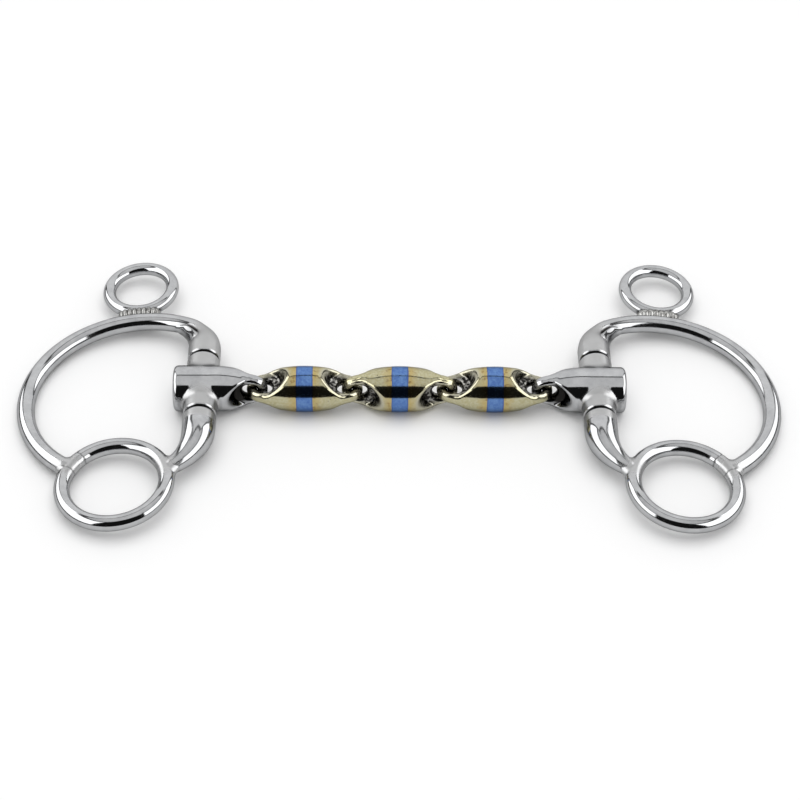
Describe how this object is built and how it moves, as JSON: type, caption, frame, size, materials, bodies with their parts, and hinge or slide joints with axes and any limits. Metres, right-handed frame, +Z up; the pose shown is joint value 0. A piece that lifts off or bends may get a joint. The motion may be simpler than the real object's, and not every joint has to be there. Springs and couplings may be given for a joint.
{
  "type": "snaffle bit",
  "caption": "Snaffle bit whose bow cheeks, with a fixed strap ring above and rein ring below, hinge on a chain-link mouthpiece with scooped interlocking eyes.",
  "frame": {"origin": "under the middle of the bit's outline, on the surface that it lies on", "axes": "+X along the mouthpiece to the right cheek, +Y towards the small cheekpiece rings, +Z up"},
  "size_m": [0.2636, 0.1292, 0.016],
  "materials": {
    "polished_steel": "mirror polished",
    "satin_steel": "satin",
    "weld_steel": "rippled weld, lightly polished",
    "straw_iron": "heat-tinted, polished",
    "blued_iron": "blued, polished"
  },
  "bodies": {
    "centre": {"centre_link": "straw_iron", "centre_link_band": "blued_iron"},
    "left_side": {"left_link": "straw_iron", "left_link_band": "blued_iron"},
    "left_end": {"left_barrel": "polished_steel"},
    "left_cheek": {"left_spindle": "satin_steel", "left_upper_knuckle": "satin_steel", "left_lower_knuckle": "polished_steel", "left_bow": "polished_steel", "left_cheekpiece_ring": "polished_steel", "left_ring_weld": "weld_steel", "left_rein_ring": "polished_steel"},
    "right_side": {"right_link": "straw_iron", "right_link_band": "blued_iron"},
    "right_end": {"right_barrel": "polished_steel"},
    "right_cheek": {"right_spindle": "satin_steel", "right_upper_knuckle": "satin_steel", "right_lower_knuckle": "polished_steel", "right_bow": "polished_steel", "right_cheekpiece_ring": "polished_steel", "right_ring_weld": "weld_steel", "right_rein_ring": "polished_steel"}
  },
  "joints": [
    {"name": "left_link_swing", "type": "hinge", "parent": "centre", "child": "left_side", "pos_m": [-0.01435, -0.00147, 0.008], "axis": [0, 1, 0], "range_deg": [-60, 60]},
    {"name": "right_link_swing", "type": "hinge", "parent": "centre", "child": "right_side", "pos_m": [0.01435, -0.00147, 0.008], "axis": [0, -1, 0], "range_deg": [-60, 60]},
    {"name": "left_barrel_swing", "type": "hinge", "parent": "left_side", "child": "left_end", "pos_m": [-0.04705, -0.00147, 0.008], "axis": [0, 0, 1], "range_deg": [-60, 60]},
    {"name": "right_barrel_swing", "type": "hinge", "parent": "right_side", "child": "right_end", "pos_m": [0.04705, -0.00147, 0.008], "axis": [0, 0, 1], "range_deg": [-60, 60]},
    {"name": "left_cheek_hinge", "type": "hinge", "parent": "left_end", "child": "left_cheek", "pos_m": [-0.0682, -0.00147, 0.008], "axis": [0, -1, 0], "range_deg": [-150, 150]},
    {"name": "right_cheek_hinge", "type": "hinge", "parent": "right_end", "child": "right_cheek", "pos_m": [0.0682, -0.00147, 0.008], "axis": [0, 1, 0], "range_deg": [-150, 150]}
  ]
}
